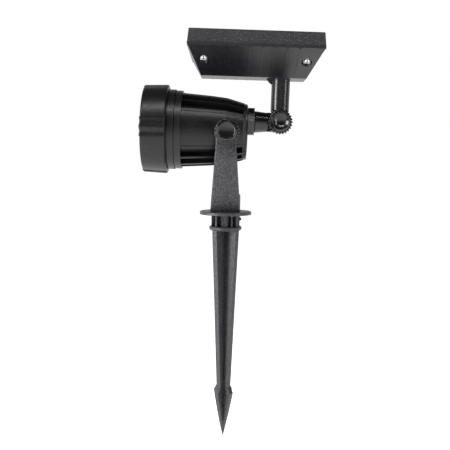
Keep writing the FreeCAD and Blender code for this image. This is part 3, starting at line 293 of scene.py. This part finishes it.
def lathe(name, profile, place, slot, body, around, swell=None, stands_for=()):
    """Turns a profile about the local X axis in so many steps around.

    swell(angle) is in millimetres: a point's weight says how much of it grows the radius,
    and its ahead how much moves the point toward -X.
    """
    mesh_data = bmesh.new()
    rings = []
    for step in range(around):
        angle = 2 * math.pi * step / around
        extra = swell(angle) if swell else 0.0
        ring = []
        for along, radius, weight, ahead in profile:
            reach = max(0.0, radius + weight * extra)
            spot = Vector((along - ahead * extra, reach * math.sin(angle), reach * math.cos(angle))) * MM
            ring.append(mesh_data.verts.new(place @ spot))
        rings.append(ring)
    for ring, after in zip(rings, rings[1:] + rings[:1]):
        for k in range(len(profile) - 1):
            mesh_data.faces.new((ring[k], ring[k + 1], after[k + 1], after[k]))
        if profile[0][:2] != profile[-1][:2] and profile[0][1] > 0:
            mesh_data.faces.new((ring[-1], ring[0], after[0], after[-1]))
    bmesh.ops.remove_doubles(mesh_data, verts=mesh_data.verts, dist=MERGE_GAP * MM)
    bmesh.ops.recalc_face_normals(mesh_data, faces=mesh_data.faces)
    mesh = bpy.data.meshes.new(name)
    mesh_data.to_mesh(mesh)
    mesh_data.free()
    return add_piece(name, mesh, slot, body, stands_for)


def bezel():
    """Front ring of the lamp: rounded rims and four lugs, each with three soft ridges."""
    def swell(angle):
        away = abs((math.degrees(angle) + 45.0) % 90.0 - 45.0)
        edge = min(1.0, max(0.0, (LUG_HALF - away) / LUG_RIM))
        ridge = 0.6 + 0.4 * math.cos(math.radians(away / LUG_HALF * 360.0))
        return LUG_SWELL * edge * edge * (3 - 2 * edge) * ridge

    front, back, rim = -75.7, -53.5, 38.9
    outer = [(front, 35.4, 0, 0), (front, rim - 0.4, 0.4, 0.85), (front + 1.4, rim, 1, 0.85),
             (back - 0.9, rim + 0.8, 1, 0), (back, rim - 0.3, 0.4, 0), (back, 37.0, 0, 0)]
    inner = plain([(back, 37.0), (-72.0, 37.0), (-72.0, 33.0), (-73.0, 33.0), (front, 35.4)])
    profile = rounded(outer, 1.3, 5)[:-1] + rounded(inner, 0.3, 2)
    lathe("bezel", profile, LAMP, "bezel_plastic", "lamp_head", 360, swell, ("bezel_ring",))


def thumb_knob(name, place, body, node_name, dish):
    """Knurled knob: rounded teeth, a raised cap and a bowl that is dish deep."""
    def swell(angle):
        return TOOTH_SWELL * max(0.0, 0.5 + 0.5 * math.cos(KNOB_TEETH * angle)) ** 0.8

    skirt = [(5.6, 0.0, 0, 0), (5.6, 2.6, 0, 0), (0.0, 2.6, 0, 0), (0.0, 9.6, 0.6, 0), (0.5, 10.15, 1, 0),
             (4.2, 10.15, 1, 0), (4.8, 9.6, 0.5, 0), (4.8, 8.9, 0, 0), (5.5, 8.4, 0, 0)]
    bowl = [(BOWL_RIM - dish * (1 - (reach / BOWL_RADIUS) ** 2), reach)
            for reach in (BOWL_RADIUS, 6.0, 5.0, 4.0, 3.0, 2.0, 1.0, 0.0)]
    cap = plain([(8.8, 8.4), (9.8, 7.9), (9.8, 7.2)] + bowl)
    around = KNOB_TEETH * 12
    lathe(name, rounded(skirt + cap, 0.6), place, "knob_plastic", body, around, swell, (node_name,))


def knobs():
    """The three thumb knobs, each seated where its CAD node ends."""
    outward = Matrix.Rotation(math.radians(-90), 4, "Z")
    inward = Matrix.Rotation(math.radians(90), 4, "Z")
    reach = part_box("tilt_knob_near")[1][1]
    near = HEAD @ Matrix.Translation((0, reach, 0))
    far = HEAD @ Matrix.Translation((0, -reach, 0))
    hinge = PANEL @ Matrix.Translation((0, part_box("panel_knob")[1][1], 0))
    thumb_knob("near_knob", near @ outward, "near_tilt_knob", "tilt_knob_near", SHALLOW_BOWL)
    thumb_knob("far_knob", far @ inward, "far_tilt_knob", "tilt_knob_far", SHALLOW_BOWL)
    thumb_knob("hinge_thumb_knob", hinge @ outward, "hinge_knob", "panel_knob", DEEP_BOWL)


def bars(name, boxes, slot, body, place):
    """One mesh of plain bars, each given as (low corner, high corner)."""
    mesh_data = bmesh.new()
    for low, high in boxes:
        made = bmesh.ops.create_cube(mesh_data, size=1.0)
        middle = [(a + b) / 2 for a, b in zip(low, high)]
        spans = [b - a for a, b in zip(low, high)]
        for vert in made["verts"]:
            spot = Vector([m + c * w for m, c, w in zip(middle, vert.co, spans)]) * MM
            vert.co = place @ spot
    mesh = bpy.data.meshes.new(name)
    mesh_data.to_mesh(mesh)
    mesh_data.free()
    return add_piece(name, mesh, slot, body)


def cell_grid():
    """Silver busbars and fine fingers on every solar cell."""
    low, high = (PANEL.inverted() @ Vector(corner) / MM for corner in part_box("solar_cells"))
    deep = (high.y - low.y) / 2
    pitch = 2 * CELLS_HALF / CELL_COUNT
    wide = pitch - CELL_GAP
    boxes = []
    for k in range(CELL_COUNT):
        start = PANEL_MIDDLE - CELLS_HALF + k * pitch + CELL_GAP / 2
        for share in BUSBAR_SHARES:
            x = start + share * wide
            boxes.append(((x - BUSBAR_HALF, -deep + 1, CELLS_TOP),
                          (x + BUSBAR_HALF, deep - 1, CELLS_TOP + BUSBAR_THICK)))
        for line in range(FINGER_GAPS + 1):
            y = -deep + 1.5 + line * (2 * deep - 3) / FINGER_GAPS
            boxes.append(((start + 0.4, y - FINGER_HALF, CELLS_TOP),
                          (start + wide - 0.4, y + FINGER_HALF, CELLS_TOP + FINGER_THICK)))
    bars("cell_grid", boxes, "busbar_silver", "panel", PANEL)


def screw_heads():
    """Domed heads with a cross recess in the pockets under the panel."""
    down = Matrix.Rotation(math.radians(90), 4, "Y")
    outline = plain([(-12.0, 0.0), (-12.0, 1.5), (0.0, 1.5), (0.0, 2.6), (3.6, 2.6), (4.6, 1.9), (4.9, 0.0)])
    profile = rounded(outline, 0.5, 3)
    spots = [(x, y) for x in (-SCREW_X, SCREW_X) for y in (-SCREW_Y, SCREW_Y)]
    for number, (x, y) in enumerate(spots, start=1):
        place = PANEL @ Matrix.Translation(Vector((PANEL_MIDDLE + x, y, SCREW_Z)) * MM) @ down
        head = lathe("case_screw_%d" % number, profile, place, "bright_zinc", "panel", 32)
        for across, along in ((3.0, 0.6), (0.5, 3.0)):
            slot = [((1.6, -across, -along), (5.5, across, along))]
            cut_with(head, bars("cross_tool", slot, "bright_zinc", "panel", place))
        if number == len(spots):
            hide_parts("case_screws")


def cut_with(thing, cutter):
    """Cuts one mesh out of another and removes the tool."""
    cut = thing.modifiers.new("cut", "BOOLEAN")
    cut.operation = "DIFFERENCE"
    cut.solver = "FAST"
    cut.object = cutter
    bpy.context.view_layer.update()
    final = bpy.data.meshes.new_from_object(thing.evaluated_get(bpy.context.evaluated_depsgraph_get()))
    thing.modifiers.clear()
    thing.data = final
    bpy.data.objects.remove(cutter, do_unlink=True)


def parting_lines():
    """Fine raised line down the middle of each yoke limb, forked over the hub."""
    stem = [(0.0, 39.1, 65.0), (0.0, 39.1, 59.0), (0.0, 37.7, 51.0), (0.0, 21.75, 18.0)]
    forks = [[(0.0, 21.75, 18.0), (side * 2.6, 20.0, 14.8), (side * 3.6, 15.0, 4.4)] for side in (-1, 1)]
    mesh_data = bmesh.new()
    for out in (-1, 1):
        for line in [stem] + forks:
            rings = []
            for x, y, z in line:
                section = [(x - 0.45, y - 0.5), (x, y + 0.22), (x + 0.45, y - 0.5), (x, y - 0.9)]
                rings.append([mesh_data.verts.new(Vector((a, out * b, z)) * MM) for a, b in section])
            for ring, after in zip(rings, rings[1:]):
                for k in range(4):
                    mesh_data.faces.new((ring[k], ring[(k + 1) % 4], after[(k + 1) % 4], after[k]))
            mesh_data.faces.new(rings[0])
            mesh_data.faces.new(rings[-1][::-1])
    bmesh.ops.recalc_face_normals(mesh_data, faces=mesh_data.faces)
    mesh = bpy.data.meshes.new("yoke_parting_lines")
    mesh_data.to_mesh(mesh)
    mesh_data.free()
    add_piece("yoke_parting_lines", mesh, "yoke_plastic", "stake")


def lens():
    """Clear front plate with a softly domed face and a ring step at its edge."""
    outline = plain([(-69.4, 0.0), (-69.4, 36.6), (-71.99, 36.6), (-71.99, 32.6), (-72.6, 32.2),
                     (-73.4, 20.0), (-73.7, 0.0)])
    profile = rounded(outline, 0.4)
    lathe("front_window", profile, LAMP, "clear_lens", "lamp_head", 128, None, ("front_lens",))


# ---------------------------------------------------------------- stage

def camera():
    """A view from the -Y side, pitched a little down and rolled a little."""
    down, roll = math.radians(PITCH), math.radians(ROLL)
    data = bpy.data.cameras.new("camera")
    data.sensor_width = 36.0
    data.lens = data.sensor_width * (FOCAL / FRAME_WIDTH)
    eye = bpy.data.objects.new("camera", data)
    bpy.context.scene.collection.objects.link(eye)
    ahead = Vector((0, math.cos(down), -math.sin(down)))
    level_up = Vector((0, math.sin(down), math.cos(down)))
    right = math.cos(roll) * Vector((1, 0, 0)) + math.sin(roll) * level_up
    up = right.cross(ahead)
    place = Matrix((right, up, -ahead)).transposed().to_4x4()
    place.translation = Vector(EYE_PLACE) * MM
    eye.matrix_world = place
    bpy.context.scene.camera = eye


def area_light(name, place, aim, wide, tall, power):
    """A soft rectangular lamp; places and sizes are in metres, power in watts."""
    data = bpy.data.lights.new(name, "AREA")
    data.shape = "RECTANGLE"
    data.size = wide
    data.size_y = tall
    data.energy = power
    lamp = bpy.data.objects.new(name, data)
    bpy.context.scene.collection.objects.link(lamp)
    lamp.location = place
    lamp.visible_camera = False
    lamp.rotation_euler = (Vector(aim) - Vector(place)).to_track_quat("-Z", "Y").to_euler()


def stage():
    """Pale floor under the spike's tip, a studio glow that is bright behind and low, and three soft lamps."""
    mesh = bpy.data.meshes.new("floor")
    side, low = 30.0, CAD_BOX[0][2] - 0.5 * MM  # metres
    corners = [(-side, -side, low), (side, -side, low), (side, side, low), (-side, side, low)]
    mesh.from_pydata(corners, [], [(0, 1, 2, 3)])
    floor = bpy.data.objects.new("floor", mesh)
    bpy.context.scene.collection.objects.link(floor)
    material, _, shader = new_material("floor_paper")
    shader.inputs["Base Color"].default_value = (0.9, 0.9, 0.9, 1)
    shader.inputs["Roughness"].default_value = 1.0
    shader.inputs["Emission Color"].default_value = (1, 1, 1, 1)
    shader.inputs["Emission Strength"].default_value = 0.9
    mesh.materials.append(material)

    world = bpy.data.worlds.new("studio")
    bpy.context.scene.world = world
    world.use_nodes = True
    tree = world.node_tree
    tree.nodes.clear()
    way = node(tree, "ShaderNodeSeparateXYZ", {0: node(tree, "ShaderNodeTexCoord").outputs["Generated"]})
    behind = node(tree, "ShaderNodeMapRange", {"Value": way.outputs["Y"], "From Min": -0.1, "From Max": 0.7,
                                               "To Min": 0.12, "To Max": 1.0})
    below = node(tree, "ShaderNodeMapRange", {"Value": way.outputs["Z"], "From Min": 0.15, "From Max": 0.8,
                                              "To Min": 1.0, "To Max": 0.12})
    lit = node(tree, "ShaderNodeMath", {0: behind.outputs["Result"], 1: below.outputs["Result"]},
               operation="MULTIPLY")
    seen = node(tree, "ShaderNodeLightPath").outputs["Is Camera Ray"]
    strength = node(tree, "ShaderNodeMath", {0: lit.outputs["Value"], 1: seen}, operation="MAXIMUM")
    glow = node(tree, "ShaderNodeBackground", {"Color": (1, 1, 1, 1), "Strength": strength.outputs["Value"]})
    node(tree, "ShaderNodeOutputWorld", {"Surface": glow.outputs[0]})
    bpy.context.scene.view_settings.view_transform = "Standard"

    area_light("softbox_left", (-0.85, -0.42, 0.12), (0, 0, 0), wide=0.3, tall=1.0, power=15.0)
    area_light("softbox_right", (0.78, -0.42, 0.12), (0, 0, 0), wide=0.1, tall=1.0, power=3.2)
    area_light("strip_above", (0, -0.45, 0.75), (0, 0, 0.1), wide=0.9, tall=0.05, power=4.0)


dress_cad_nodes()
bezel()
knobs()
cell_grid()
screw_heads()
parting_lines()
lens()
camera()
stage()
